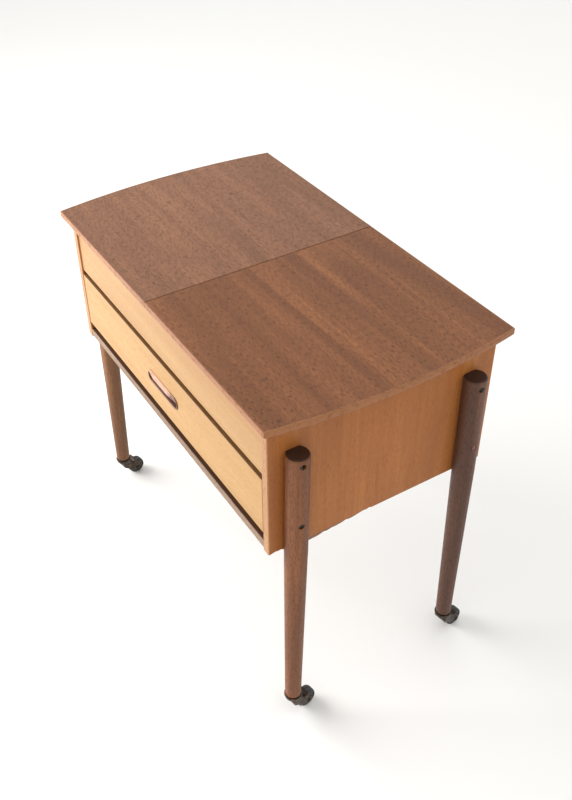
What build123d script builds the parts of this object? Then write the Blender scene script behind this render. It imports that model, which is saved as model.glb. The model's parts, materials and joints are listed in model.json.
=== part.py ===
"""Sewing table on casters: a teak case with a split sliding top, two divided trays and a drawer.

Frame: millimetres, +Z up, front is -Y, origin on the floor under the middle of the top.
"""
from build123d import *
from math import atan2, cos, radians, sin
import os

# ---- top ---------------------------------------------------------------------------------
HEIGHT = 580.0            # floor to the upper face of the top
TOP_LENGTH = 600.0        # along the straight front edge
TOP_DEPTH = 370.0
TOP_BOW = 16.0            # how far each short end bows out
TOP_THICK = 10.0
SEAM_X = -5.5             # where the two halves meet
SEAM_GAP = 1.0
TOP_EASE = 0.7            # rounding of the arrises of the top

# ---- case --------------------------------------------------------------------------------
CASE_HALF = 287.0         # outer faces of the end panels
PANEL_THICK = 13.0
CASE_FRONT = -174.0
CASE_BACK = 171.5
CASE_TOP = 569.6
CASE_BOTTOM = 358.0
PANEL_LOW = 355.2         # the end panels hang a little below the bottom board
INNER_HALF = CASE_HALF - PANEL_THICK
PANEL_EASE = 0.8
BOARD_EASE = 0.6
BOTTOM_EASE = 1.0

APRON_FRONT = CASE_FRONT + 2.5
APRON_THICK = 12.0
APRON_LOW = 484.0
BACK_FACE = 159.5         # inner face of the back panel
BACK_THICK = 9.0
BOTTOM_THICK = 12.5
BOTTOM_FRONT = CASE_FRONT + 0.5
SHELF_LOW = 485.0
SHELF_THICK = 5.0
INNER_FRONT = APRON_FRONT + APRON_THICK

# ---- rails and lid runners ---------------------------------------------------------------
RAIL_WIDTH = 16.0
RAIL_LOW = 545.6
GROOVE_LOW = 553.0
GROOVE_HEIGHT = 5.0
GROOVE_DEEP = 5.0
RUNNER_WIDTH = 14.0
RUNNER_LOW = 549.0
RUNNER_NEAR = 12.0        # runner end nearest the seam, from the middle
RUNNER_FAR = 135.0
SLIDE_GAP = 0.4
GROOVE_END_GAP = 0.5      # room left at the blind end of a groove

# ---- trays -------------------------------------------------------------------------------
LEDGE_WIDTH = 24.5
LEDGE_LOW = 503.0
LEDGE_THICK = 9.0
TRAY_LOW = LEDGE_LOW + LEDGE_THICK + 0.3
TRAY_TOP = 547.0
TRAY_HALF = 142.3         # half depth, front to back
TRAY_LENGTH = 176.0
TRAY_OUTER = 272.0        # outer end from the middle at rest
TRAY_WALL = 6.0
TRAY_FLOOR = 3.0
TRAY_DIVIDER = 4.0
TRAY_CORNER = 3.0         # rounding of the upright corners of a rim
DIVIDER_DROP = 4.0        # dividers stop below the rim
PEG_RADIUS = 2.5
PEG_HEIGHT = 24.0
PEG_ROUND = 1.2
PEG_ROWS = 4
PEG_COLUMNS = 2
PEG_SPACING_X = 40.0
PEG_SPACING_Y = 42.0
PEG_FIELD_Y = -87.3       # middle of the pegs, front to back

# ---- drawer ------------------------------------------------------------------------------
FRONT_HALF = 272.8
FRONT_FACE = CASE_FRONT + 0.5
FRONT_THICK = 16.0
FRONT_LOW = 385.3
FRONT_TOP = 477.3
FRONT_EASE = 0.8
SIDE_OUT = 268.0
SIDE_THICK = 10.0
SIDE_LOW = 392.0
SIDE_TOP = 472.0
DRAWER_BACK = 143.0
DRAWER_FLOOR = 396.0
DRAWER_FLOOR_THICK = 4.0
HANG_LOW = 430.0          # side runner, lower face
HANG_HEIGHT = 8.0
HANG_REACH = 9.8
HANG_FRONT = INNER_FRONT + 12.0
HANG_BACK = BACK_FACE - 2.0
DRAWER_DIVIDER_X = 88.0
DRAWER_DIVIDER_THICK = 6.0
DRAWER_DIVIDER_DROP = 16.0   # dividers stop below the sides
DRAWER_BACK_THICK = 10.0
DRAWER_BACK_DROP = 6.0
FLOOR_HOUSING = 4.0       # how far the floor enters the sides
FRONT_BACK = FRONT_FACE + FRONT_THICK
SIDE_INNER = SIDE_OUT - SIDE_THICK

# ---- pull --------------------------------------------------------------------------------
PULL_Z = 431.0
PULL_LENGTH = 92.0
PULL_HEIGHT = 21.0
PULL_INSET = 7.0
PULL_PROUD = 6.0
PULL_PROUD_LOW = 1.5
PULL_BED = FRONT_FACE + PULL_INSET
PULL_FIT = 0.1
PULL_ROUND = 3.0
PULL_BROW = 6.0           # the upper lip, left standing full
PULL_WALL = 4.5
PULL_FLOOR = 2.0
HOLLOW_HEIGHT = 12.5
HOLLOW_DROP = 1.2         # how far the hollow sits below the middle

# ---- legs --------------------------------------------------------------------------------
LEG_X = 298.0
LEG_FRONT_Y = -138.2
LEG_BACK_Y = 132.1
LEG_SPLAY = 6.1           # how far each foot stands out, front to back
LEG_TOP = 524.0
LEG_LOW = 47.0
LEG_RADIUS = 15.6
FOOT_RADIUS = 11.8
LEG_ROUND = 3.5           # rounding at the head
FOOT_ROUND = 3.2
FLAT_BELOW = 0.3          # how far the flat runs on below the end panel
SCREW_HEIGHTS = {-1: (514.0, 414.2), 1: (511.5, 411.3)}   # front legs, back legs
SCREW_SHIFT = -2.0        # screws stand a little in front of the leg's axis
SCREW_SHANK = 2.2
SCREW_HEAD = 4.0
SCREW_SINK = 4.0
SCREW_HEAD_THICK = 2.6
SCREW_SLOT = 1.2
SCREW_SLOT_DEEP = 1.1
SCREW_TIP = INNER_HALF + 1.5
CORNERS = (("front_left", -1, -1), ("front_right", 1, -1), ("back_left", -1, 1), ("back_right", 1, 1))

# ---- casters -----------------------------------------------------------------------------
CASTER_TRAIL = 24.0
CASTER_YAW = 10.0         # how far the casters have swivelled, seen from above
WHEEL_RADIUS = 15.0
WHEEL_HALF = 8.0
HUB_RADIUS = 10.5
AXLE_RADIUS = 2.0
STEM_RADIUS = 3.0
FIT = 0.05                # radial clearance of a running fit
FLANGE_LOW = 43.7
FLANGE_RADIUS = 13.2
FLANGE_ROUND = 1.2
SLEEVE_RADIUS = 5.0
SLEEVE_LENGTH = 26.0
PLATE_TOP = 43.4
CHEEK_IN = 8.8
CHEEK_OUT = 10.8
CHEEK_END = 6.5
PLATE_RADIUS = 12.2
PLATE_THICK = 3.0
NECK_RADIUS = 8.5
NECK_DROP = 6.0
NECK_SPOT = (1.0, 34.0)
HOOD_OUT = 19.2
HOOD_IN = 17.0
HOOD_START = 95.0         # degrees about the axle, from the trailing side
HOOD_END = 173.0
HOOD_STEPS = 4
RIVET_RADIUS = 3.4
RIVET_THICK = 1.2
BOSS_RADIUS = 4.5
BOSS_HALF = 8.3
WEB_HALF = 4.0
RIM_HALF = 6.8
RIM_THICK = 2.0
TREAD_RADIUS = 12.6

RAIL_FACE_FRONT = INNER_FRONT + RAIL_WIDTH
RAIL_FACE_BACK = BACK_FACE - RAIL_WIDTH
LID_SCREW = 1.6
LID_SCREW_HEAD = 3.2
LID_SCREW_BITE = 6.0
LID_SCREW_INSET = 22.0
LID_SCREW_SUNK = 4.0
LID_SCREW_HEAD_THICK = 2.5

os.makedirs("parts", exist_ok=True)


def save(builder, name):
    """Label a finished piece and write it."""
    builder.part.label = name
    export_step(builder.part, "parts/" + name + ".step")


def span(x0, x1, y0, y1, z0, z1, mode=Mode.ADD):
    """A box between two corners, in the part that is being built."""
    with Locations(((x0 + x1) / 2, (y0 + y1) / 2, (z0 + z1) / 2)):
        Box(abs(x1 - x0), abs(y1 - y0), abs(z1 - z0), mode=mode)


def board(name, x0, x1, y0, y1, z0, z1, soften=0.0):
    """A plain board, its long arrises eased when asked."""
    with BuildPart() as piece:
        span(x0, x1, y0, y1, z0, z1)
        if soften:
            fillet(piece.edges().filter_by(Axis.X), soften)
    save(piece, name)


# ---- end panels, with screw holes for the legs -------------------------------------------
def leg_line(z, side_y):
    """Where a leg's axis stands front to back at height z; side_y is -1 in front, +1 behind."""
    start = LEG_FRONT_Y if side_y < 0 else LEG_BACK_Y
    return start + side_y * LEG_SPLAY * (LEG_TOP - z) / (LEG_TOP - LEG_LOW)


def screw_spots():
    """Front-to-back place and height of the four screws through one end panel."""
    return [(leg_line(z, side_y) + SCREW_SHIFT, z) for side_y in (-1, 1) for z in SCREW_HEIGHTS[side_y]]


def end_panel(name, side_x):
    outer = side_x * CASE_HALF
    inner = side_x * INNER_HALF
    with BuildPart() as panel:
        span(min(outer, inner), max(outer, inner), CASE_FRONT, CASE_BACK, PANEL_LOW, CASE_TOP)
        fillet(panel.edges().filter_by(Axis.Z), PANEL_EASE)
        for y, z in screw_spots():
            with BuildSketch(Plane.YZ.offset(inner)):
                with Locations((y, z)):
                    Circle(SCREW_SHANK + FIT)
            extrude(amount=side_x * PANEL_THICK, mode=Mode.SUBTRACT)
    save(panel, name)


end_panel("end_panel_left", -1)
end_panel("end_panel_right", 1)

# ---- fixed boards of the case ------------------------------------------------------------
board("apron_panel", -INNER_HALF, INNER_HALF, APRON_FRONT, INNER_FRONT, APRON_LOW, CASE_TOP,
      BOARD_EASE)
board("back_panel", -INNER_HALF, INNER_HALF, BACK_FACE, BACK_FACE + BACK_THICK,
      CASE_BOTTOM + BOTTOM_THICK, CASE_TOP, BOARD_EASE)
board("bottom_board", -INNER_HALF, INNER_HALF, BOTTOM_FRONT, BACK_FACE + BACK_THICK,
      CASE_BOTTOM, CASE_BOTTOM + BOTTOM_THICK, BOTTOM_EASE)
board("dust_shelf", -INNER_HALF, INNER_HALF, INNER_FRONT, BACK_FACE,
      SHELF_LOW, SHELF_LOW + SHELF_THICK)
board("tray_ledge_front", -INNER_HALF, INNER_HALF, INNER_FRONT, INNER_FRONT + LEDGE_WIDTH,
      LEDGE_LOW, LEDGE_LOW + LEDGE_THICK)
board("tray_ledge_back", -INNER_HALF, INNER_HALF, BACK_FACE - LEDGE_WIDTH, BACK_FACE,
      LEDGE_LOW, LEDGE_LOW + LEDGE_THICK)
for side_name, side_x in (("left", -1), ("right", 1)):
    reach = side_x * (INNER_HALF - HANG_REACH)
    wall = side_x * INNER_HALF
    board("drawer_runner_" + side_name, min(reach, wall), max(reach, wall),
          HANG_FRONT, HANG_BACK, HANG_LOW, HANG_LOW + HANG_HEIGHT)


# ---- grooved rails that hold the lid runners down ----------------------------------------
def top_rail(name, wall_y, inward):
    """A rail on the inside of the apron or back; inward is +1 in front, -1 behind."""
    face = wall_y + inward * RAIL_WIDTH
    groove = face - inward * GROOVE_DEEP
    with BuildPart() as rail:
        span(-INNER_HALF, INNER_HALF, min(wall_y, face), max(wall_y, face), RAIL_LOW, CASE_TOP)
        span(-INNER_HALF, INNER_HALF, min(groove, face), max(groove, face),
             GROOVE_LOW, GROOVE_LOW + GROOVE_HEIGHT, Mode.SUBTRACT)
    save(rail, name)


top_rail("top_rail_front", INNER_FRONT, 1)
top_rail("top_rail_back", BACK_FACE, -1)


# ---- lids: the two halves of the top -----------------------------------------------------
def lid(name, side_x):
    """One half of the top; its outer end is an arc, its inner end meets the seam."""
    inner = SEAM_X + side_x * SEAM_GAP / 2
    outer = side_x * TOP_LENGTH / 2
    half = TOP_DEPTH / 2
    with BuildPart() as half_top:
        with BuildSketch(Plane.XY.offset(HEIGHT - TOP_THICK)):
            with BuildLine():
                Polyline((outer, half), (inner, half), (inner, -half), (outer, -half))
                ThreePointArc((outer, -half), (outer + side_x * TOP_BOW, 0), (outer, half))
            make_face()
        extrude(amount=TOP_THICK)
        fillet(half_top.faces().sort_by(Axis.Z)[-1].edges(), TOP_EASE)
        fillet(half_top.faces().sort_by(Axis.Z)[0].edges(), TOP_EASE)
        for x, y in lid_screw_spots(side_x):
            with BuildSketch(Plane.XY.offset(HEIGHT - TOP_THICK)):
                with Locations((x, y)):
                    Circle(LID_SCREW + FIT)
            extrude(amount=LID_SCREW_BITE, mode=Mode.SUBTRACT)
    save(half_top, name)


def runner_middle(inward):
    """Front-to-back middle of a runner; inward is +1 in front, -1 behind."""
    face = RAIL_FACE_FRONT if inward > 0 else RAIL_FACE_BACK
    return face + inward * (SLIDE_GAP + RUNNER_WIDTH / 2)


def lid_screw_spots(side_x):
    """Two screws up through each runner into the lid."""
    return [(side_x * x, runner_middle(inward)) for inward in (1, -1)
            for x in (RUNNER_NEAR + LID_SCREW_INSET, RUNNER_FAR - LID_SCREW_INSET)]


def lid_runner(name, side_x, inward):
    """A batten under the lid, with a tongue that runs in the rail's groove."""
    middle = runner_middle(inward)
    near = middle - inward * RUNNER_WIDTH / 2
    tip = near - inward * (GROOVE_DEEP - SLIDE_GAP)
    far = middle + inward * RUNNER_WIDTH / 2
    x0 = side_x * RUNNER_NEAR
    x1 = side_x * RUNNER_FAR
    with BuildPart() as runner:
        span(x0, x1, near, far, RUNNER_LOW, HEIGHT - TOP_THICK)
        span(x0, x1, min(near, tip), max(near, tip), GROOVE_LOW + SLIDE_GAP,
             GROOVE_LOW + GROOVE_HEIGHT - SLIDE_GAP)
        for x in (RUNNER_NEAR + LID_SCREW_INSET, RUNNER_FAR - LID_SCREW_INSET):
            with BuildSketch(Plane.XY.offset(RUNNER_LOW)):
                with Locations((side_x * x, middle)):
                    Circle(LID_SCREW + FIT)
            extrude(amount=HEIGHT - TOP_THICK - RUNNER_LOW, mode=Mode.SUBTRACT)
            with BuildSketch(Plane.XY.offset(RUNNER_LOW)):
                with Locations((side_x * x, middle)):
                    Circle(LID_SCREW_HEAD + FIT)
            extrude(amount=LID_SCREW_SUNK, mode=Mode.SUBTRACT)
    save(runner, name)


def lid_screws(name, side_x):
    with BuildPart() as screws:
        for x, y in lid_screw_spots(side_x):
            with BuildSketch(Plane.XY.offset(RUNNER_LOW + LID_SCREW_SUNK)):
                with Locations((x, y)):
                    Circle(LID_SCREW)
            extrude(amount=HEIGHT - TOP_THICK - RUNNER_LOW - LID_SCREW_SUNK
                    + LID_SCREW_BITE - GROOVE_END_GAP)
            with BuildSketch(Plane.XY.offset(RUNNER_LOW + LID_SCREW_SUNK - LID_SCREW_HEAD_THICK)):
                with Locations((x, y)):
                    Circle(LID_SCREW_HEAD)
            extrude(amount=LID_SCREW_HEAD_THICK)
    save(screws, name)


for side_name, side_x in (("left", -1), ("right", 1)):
    lid("lid_" + side_name, side_x)
    lid_runner("lid_runner_" + side_name + "_front", side_x, 1)
    lid_runner("lid_runner_" + side_name + "_back", side_x, -1)
    lid_screws("lid_screws_" + side_name, side_x)


# ---- trays -------------------------------------------------------------------------------
def tray(side_name, side_x, cross_walls, long_walls):
    """A divided tray: rim, floor and dividers; walls are placed as fractions of the inside."""
    x_out = side_x * TRAY_OUTER
    x_in = side_x * (TRAY_OUTER - TRAY_LENGTH)
    x0 = min(x_out, x_in)
    x1 = max(x_out, x_in)
    inside_x0 = x0 + TRAY_WALL
    inside_x1 = x1 - TRAY_WALL
    inside_y = TRAY_HALF - TRAY_WALL
    floor_top = TRAY_LOW + TRAY_FLOOR
    with BuildPart() as frame:
        span(x0, x1, -TRAY_HALF, TRAY_HALF, TRAY_LOW, TRAY_TOP)
        span(inside_x0, inside_x1, -inside_y, inside_y, TRAY_LOW, TRAY_TOP, Mode.SUBTRACT)
        fillet(frame.edges().filter_by(Axis.Z).group_by(SortBy.DISTANCE)[-1], TRAY_CORNER)
    save(frame, "tray_" + side_name + "_rim")
    board("tray_" + side_name + "_floor", inside_x0, inside_x1, -inside_y, inside_y,
          TRAY_LOW, floor_top)
    with BuildPart() as dividers:
        for part in cross_walls:
            x = inside_x0 + part * (inside_x1 - inside_x0)
            span(x - TRAY_DIVIDER / 2, x + TRAY_DIVIDER / 2, -inside_y, inside_y,
                 floor_top, TRAY_TOP - DIVIDER_DROP)
        for part in long_walls:
            y = -inside_y + part * 2 * inside_y
            span(inside_x0, inside_x1, y - TRAY_DIVIDER / 2, y + TRAY_DIVIDER / 2,
                 floor_top, TRAY_TOP - DIVIDER_DROP)
    save(dividers, "tray_" + side_name + "_dividers")


tray("left", -1, (0.5,), (0.25, 0.5, 0.75))
tray("right", 1, (), (0.36, 0.68))

# ---- spool pegs, standing on the floor of the right tray ---------------------------------
with BuildPart() as pegs:
    with BuildSketch(Plane.XY.offset(TRAY_LOW + TRAY_FLOOR)):
        with Locations((TRAY_OUTER - TRAY_LENGTH / 2, PEG_FIELD_Y)):
            with GridLocations(PEG_SPACING_X, PEG_SPACING_Y, PEG_ROWS, PEG_COLUMNS):
                Circle(PEG_RADIUS)
    extrude(amount=PEG_HEIGHT)
    fillet(pegs.edges().filter_by(GeomType.CIRCLE).group_by(Axis.Z)[-1], PEG_ROUND)
save(pegs, "spool_pegs")

# ---- drawer ------------------------------------------------------------------------------
with BuildPart() as drawer_front:
    span(-FRONT_HALF, FRONT_HALF, FRONT_FACE, FRONT_BACK, FRONT_LOW, FRONT_TOP)
    fillet(drawer_front.faces().sort_by(Axis.Y)[0].edges(), FRONT_EASE)
    with BuildSketch(Plane.XZ.offset(-PULL_BED)):
        with Locations((0, PULL_Z)):
            SlotOverall(PULL_LENGTH + 2 * PULL_FIT, PULL_HEIGHT + 2 * PULL_FIT)
    extrude(amount=2 * PULL_INSET, mode=Mode.SUBTRACT)
save(drawer_front, "drawer_front")


def drawer_side(name, side_x):
    """A side with a groove outside for the hanging runner and one inside for the floor."""
    outer = side_x * SIDE_OUT
    inner = side_x * SIDE_INNER
    bed = side_x * (INNER_HALF - HANG_REACH - SLIDE_GAP)
    housing = side_x * (SIDE_INNER + FLOOR_HOUSING)
    with BuildPart() as side:
        span(min(outer, inner), max(outer, inner), FRONT_BACK, DRAWER_BACK, SIDE_LOW, SIDE_TOP)
        span(min(bed, outer), max(bed, outer), HANG_FRONT - GROOVE_END_GAP, DRAWER_BACK,
             HANG_LOW - SLIDE_GAP, HANG_LOW + HANG_HEIGHT + SLIDE_GAP, Mode.SUBTRACT)
        span(min(inner, housing), max(inner, housing), FRONT_BACK, DRAWER_BACK,
             DRAWER_FLOOR, DRAWER_FLOOR + DRAWER_FLOOR_THICK, Mode.SUBTRACT)
    save(side, name)


drawer_side("drawer_side_left", -1)
drawer_side("drawer_side_right", 1)
board("drawer_back", -SIDE_INNER, SIDE_INNER, DRAWER_BACK - DRAWER_BACK_THICK, DRAWER_BACK,
      DRAWER_FLOOR + DRAWER_FLOOR_THICK, SIDE_TOP - DRAWER_BACK_DROP)
board("drawer_floor", -SIDE_INNER - FLOOR_HOUSING, SIDE_INNER + FLOOR_HOUSING,
      FRONT_BACK, DRAWER_BACK, DRAWER_FLOOR, DRAWER_FLOOR + DRAWER_FLOOR_THICK)
with BuildPart() as drawer_dividers:
    for x in (-DRAWER_DIVIDER_X, DRAWER_DIVIDER_X):
        span(x - DRAWER_DIVIDER_THICK / 2, x + DRAWER_DIVIDER_THICK / 2, FRONT_BACK,
             DRAWER_BACK - DRAWER_BACK_THICK, DRAWER_FLOOR + DRAWER_FLOOR_THICK,
             SIDE_TOP - DRAWER_DIVIDER_DROP)
save(drawer_dividers, "drawer_dividers")

# ---- drawer pull: an oval boss, let in to the front and hollowed for the fingers ---------
with BuildPart() as pull:
    with BuildSketch(Plane.XZ.offset(-PULL_BED)):
        with Locations((0, PULL_Z)):
            SlotOverall(PULL_LENGTH, PULL_HEIGHT)
    extrude(amount=PULL_INSET + PULL_PROUD)
    fillet(pull.faces().sort_by(Axis.Y)[0].edges(), PULL_ROUND)
    with BuildSketch(Plane.YZ.offset(-PULL_LENGTH)):
        with BuildLine():
            Polyline((FRONT_FACE - PULL_PROUD_LOW, PULL_Z - PULL_HEIGHT / 2 - 1),
                     (FRONT_FACE - PULL_PROUD, PULL_Z + PULL_HEIGHT / 2 - PULL_BROW),
                     (FRONT_FACE - 3 * PULL_PROUD, PULL_Z + PULL_HEIGHT / 2 - PULL_BROW),
                     (FRONT_FACE - 3 * PULL_PROUD, PULL_Z - PULL_HEIGHT / 2 - 1),
                     close=True)
        make_face()
    extrude(amount=2 * PULL_LENGTH, mode=Mode.SUBTRACT)
    with BuildSketch(Plane.XZ.offset(PULL_FLOOR - PULL_BED)):
        with Locations((0, PULL_Z - HOLLOW_DROP)):
            SlotOverall(PULL_LENGTH - 2 * PULL_WALL, HOLLOW_HEIGHT)
    extrude(amount=PULL_INSET + PULL_PROUD, mode=Mode.SUBTRACT)
save(pull, "drawer_pull")


# ---- legs --------------------------------------------------------------------------------
def leg(name, side_x, side_y):
    """A turned leg, straight beside the case and tapered below, its inner side cut flat."""
    lean = atan2(LEG_SPLAY, LEG_TOP - LEG_LOW)
    start_y = leg_line(LEG_TOP, side_y)
    axis_plane = Plane(origin=(side_x * LEG_X, start_y, LEG_TOP), x_dir=(1, 0, 0),
                       z_dir=(0, -side_y * sin(lean), cos(lean)))
    outline_plane = Plane(axis_plane.origin, axis_plane.x_dir, axis_plane.x_dir.cross(axis_plane.z_dir))
    straight = LEG_TOP - CASE_BOTTOM
    full = (LEG_TOP - LEG_LOW) / cos(lean) + 2
    with BuildPart() as turned:
        with BuildSketch(outline_plane):
            with BuildLine():
                Line((0, 0), (LEG_RADIUS - LEG_ROUND, 0))
                ThreePointArc((LEG_RADIUS - LEG_ROUND, 0),
                              (LEG_RADIUS - LEG_ROUND * (1 - sin(radians(45))),
                               -LEG_ROUND * (1 - cos(radians(45)))),
                              (LEG_RADIUS, -LEG_ROUND))
                Polyline((LEG_RADIUS, -LEG_ROUND), (LEG_RADIUS, -straight), (FOOT_RADIUS, -full),
                         (0, -full), (0, 0))
            make_face()
        revolve(axis=Axis(axis_plane.origin, axis_plane.z_dir))
        flat_x = side_x * CASE_HALF
        away = side_x * (CASE_HALF - 12)
        span(min(flat_x, away), max(flat_x, away), start_y - 40, start_y + 40,
             PANEL_LOW - FLAT_BELOW, LEG_TOP + 10, Mode.SUBTRACT)
        span(side_x * LEG_X - 40, side_x * LEG_X + 40, start_y - 50, start_y + 50,
             LEG_LOW - 20, LEG_LOW, Mode.SUBTRACT)
        fillet(turned.faces().sort_by(Axis.Z)[0].edges(), FOOT_ROUND)
        with BuildSketch(Plane.XY.offset(LEG_LOW)):
            with Locations((side_x * LEG_X, leg_line(LEG_LOW, side_y))):
                Circle(SLEEVE_RADIUS + FIT)
        extrude(amount=SLEEVE_LENGTH + 0.5, mode=Mode.SUBTRACT)
        for z in SCREW_HEIGHTS[side_y]:
            y = leg_line(z, side_y) + SCREW_SHIFT
            with BuildSketch(Plane.YZ.offset(side_x * CASE_HALF)):
                with Locations((y, z)):
                    Circle(SCREW_SHANK + FIT)
            extrude(amount=side_x * 40, mode=Mode.SUBTRACT)
            with BuildSketch(Plane.YZ.offset(side_x * (LEG_X + LEG_RADIUS - SCREW_SINK))):
                with Locations((y, z)):
                    Circle(SCREW_HEAD + FIT)
            extrude(amount=side_x * 10, mode=Mode.SUBTRACT)
    save(turned, name)


for corner, side_x, side_y in CORNERS:
    leg("leg_" + corner, side_x, side_y)

with BuildPart() as leg_screws:
    for corner, side_x, side_y in CORNERS:
        seat = LEG_X + LEG_RADIUS - SCREW_SINK
        for z in SCREW_HEIGHTS[side_y]:
            y = leg_line(z, side_y) + SCREW_SHIFT
            with BuildSketch(Plane.YZ.offset(side_x * seat)):
                with Locations((y, z)):
                    Circle(SCREW_HEAD)
            extrude(amount=side_x * SCREW_HEAD_THICK)
            with BuildSketch(Plane.YZ.offset(side_x * (seat + SCREW_HEAD_THICK))):
                with Locations((y, z)):
                    Rectangle(3 * SCREW_HEAD, SCREW_SLOT)
            extrude(amount=-side_x * SCREW_SLOT_DEEP, mode=Mode.SUBTRACT)
            with BuildSketch(Plane.YZ.offset(side_x * SCREW_TIP)):
                with Locations((y, z)):
                    Circle(SCREW_SHANK)
            extrude(amount=side_x * (seat - SCREW_TIP))
save(leg_screws, "leg_screws")


# ---- casters -----------------------------------------------------------------------------
def hood_point(angle):
    """A point beyond the hood's rim, at an angle about the axle measured from the trailing side."""
    reach = 2 * HOOD_OUT
    return (CASTER_TRAIL + reach * cos(radians(angle)), WHEEL_RADIUS + reach * sin(radians(angle)))


def caster(corner, side_x, side_y):
    """Socket, swivelling horn with a hood, axle, hub and tyre of one caster."""
    yaw = radians(CASTER_YAW)
    foot = (side_x * LEG_X, leg_line(LEG_LOW, side_y), 0)
    base = Plane(origin=foot, x_dir=(cos(yaw), sin(yaw), 0), z_dir=(0, 0, 1))
    side_view = Plane(origin=foot, x_dir=(-sin(yaw), cos(yaw), 0), z_dir=(cos(yaw), sin(yaw), 0))
    hub_centre = (CASTER_TRAIL, WHEEL_RADIUS)
    open_turn = (HOOD_END - 360 - HOOD_START) / HOOD_STEPS
    open_side = [hood_point(HOOD_START + step * open_turn) for step in range(HOOD_STEPS + 1)]

    with BuildPart() as socket:
        with BuildSketch(base.offset(FLANGE_LOW)):
            Circle(FLANGE_RADIUS)
        extrude(amount=LEG_LOW - FLANGE_LOW)
        fillet(socket.edges().filter_by(GeomType.CIRCLE), FLANGE_ROUND)
        with BuildSketch(base.offset(LEG_LOW)):
            Circle(SLEEVE_RADIUS)
        extrude(amount=SLEEVE_LENGTH)
        with BuildSketch(base.offset(FLANGE_LOW)):
            Circle(STEM_RADIUS + FIT)
        extrude(amount=SLEEVE_LENGTH + LEG_LOW - FLANGE_LOW - 1, mode=Mode.SUBTRACT)
    save(socket, "caster_socket_" + corner)

    with BuildPart() as horn:
        with BuildSketch(base.offset(PLATE_TOP - PLATE_THICK)):
            Circle(PLATE_RADIUS)
        extrude(amount=PLATE_THICK)
        with BuildSketch(base.offset(PLATE_TOP - PLATE_THICK - NECK_DROP)):
            Circle(NECK_RADIUS)
        extrude(amount=NECK_DROP)
        with BuildSketch(side_view.offset(-CHEEK_OUT)):
            with Locations(NECK_SPOT):
                Circle(NECK_RADIUS - 1)
            with Locations(hub_centre):
                Circle(CHEEK_END)
            make_hull()
        extrude(amount=2 * CHEEK_OUT)
        with BuildSketch(side_view.offset(-CHEEK_OUT)):
            with Locations(hub_centre):
                Circle(HOOD_OUT)
            with BuildLine():
                Polyline(hub_centre, *open_side, hub_centre)
            make_face(mode=Mode.SUBTRACT)
        extrude(amount=2 * CHEEK_OUT)
        with BuildSketch(side_view.offset(-CHEEK_IN)):
            with Locations(hub_centre):
                Circle(HOOD_IN)
        extrude(amount=2 * CHEEK_IN, mode=Mode.SUBTRACT)
        with BuildSketch(side_view.offset(-CHEEK_OUT)):
            with Locations(hub_centre):
                Circle(AXLE_RADIUS + FIT)
        extrude(amount=2 * CHEEK_OUT, mode=Mode.SUBTRACT)
        with BuildSketch(base.offset(PLATE_TOP)):
            Circle(STEM_RADIUS)
        extrude(amount=SLEEVE_LENGTH)
    save(horn, "caster_horn_" + corner)

    with BuildPart() as axle:
        with BuildSketch(side_view.offset(-CHEEK_OUT - RIVET_THICK)):
            with Locations(hub_centre):
                Circle(AXLE_RADIUS)
        extrude(amount=2 * (CHEEK_OUT + RIVET_THICK))
        for start in (-CHEEK_OUT - RIVET_THICK, CHEEK_OUT + FIT):
            with BuildSketch(side_view.offset(start)):
                with Locations(hub_centre):
                    Circle(RIVET_RADIUS)
            extrude(amount=RIVET_THICK - FIT)
    save(axle, "caster_axle_" + corner)

    # The hub and tyre are turned about the axle: radius along local x, width along local y.
    spin_plane = Plane(origin=side_view.from_local_coords((*hub_centre, 0)),
                       x_dir=side_view.x_dir, z_dir=(0, 0, -1))
    spin_axis = Axis(spin_plane.origin, side_view.z_dir)
    with BuildPart() as hub:
        with BuildSketch(spin_plane):
            with BuildLine():
                Polyline((AXLE_RADIUS + FIT, -BOSS_HALF), (BOSS_RADIUS, -BOSS_HALF),
                         (BOSS_RADIUS + 0.8, -WEB_HALF), (HUB_RADIUS - RIM_THICK, -WEB_HALF),
                         (HUB_RADIUS - 1.2, -RIM_HALF), (HUB_RADIUS, -RIM_HALF),
                         (HUB_RADIUS, RIM_HALF), (HUB_RADIUS - 1.2, RIM_HALF),
                         (HUB_RADIUS - RIM_THICK, WEB_HALF), (BOSS_RADIUS + 0.8, WEB_HALF),
                         (BOSS_RADIUS, BOSS_HALF), (AXLE_RADIUS + FIT, BOSS_HALF), close=True)
            make_face()
        revolve(axis=spin_axis)
    save(hub, "caster_hub_" + corner)

    with BuildPart() as tyre:
        with BuildSketch(spin_plane):
            with BuildLine():
                Polyline((TREAD_RADIUS, -WHEEL_HALF), (HUB_RADIUS, -WHEEL_HALF),
                         (HUB_RADIUS, WHEEL_HALF), (TREAD_RADIUS, WHEEL_HALF))
                ThreePointArc((TREAD_RADIUS, WHEEL_HALF), (WHEEL_RADIUS, 0), (TREAD_RADIUS, -WHEEL_HALF))
            make_face()
        revolve(axis=spin_axis)
    save(tyre, "caster_tyre_" + corner)


for corner, side_x, side_y in CORNERS:
    caster(corner, side_x, side_y)
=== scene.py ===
"""Sewing table on casters: a veneered case with a split sliding top, divided trays and a drawer.

The pieces are dressed in the order in which the table is put together: panels, boards, legs,
casters, rails, trays, drawer, pull and top, then the studio that it stands in. Metres, +Z up.
"""
import bpy
import bmesh
import json
import math
import random
from mathutils import Matrix, Vector


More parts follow.
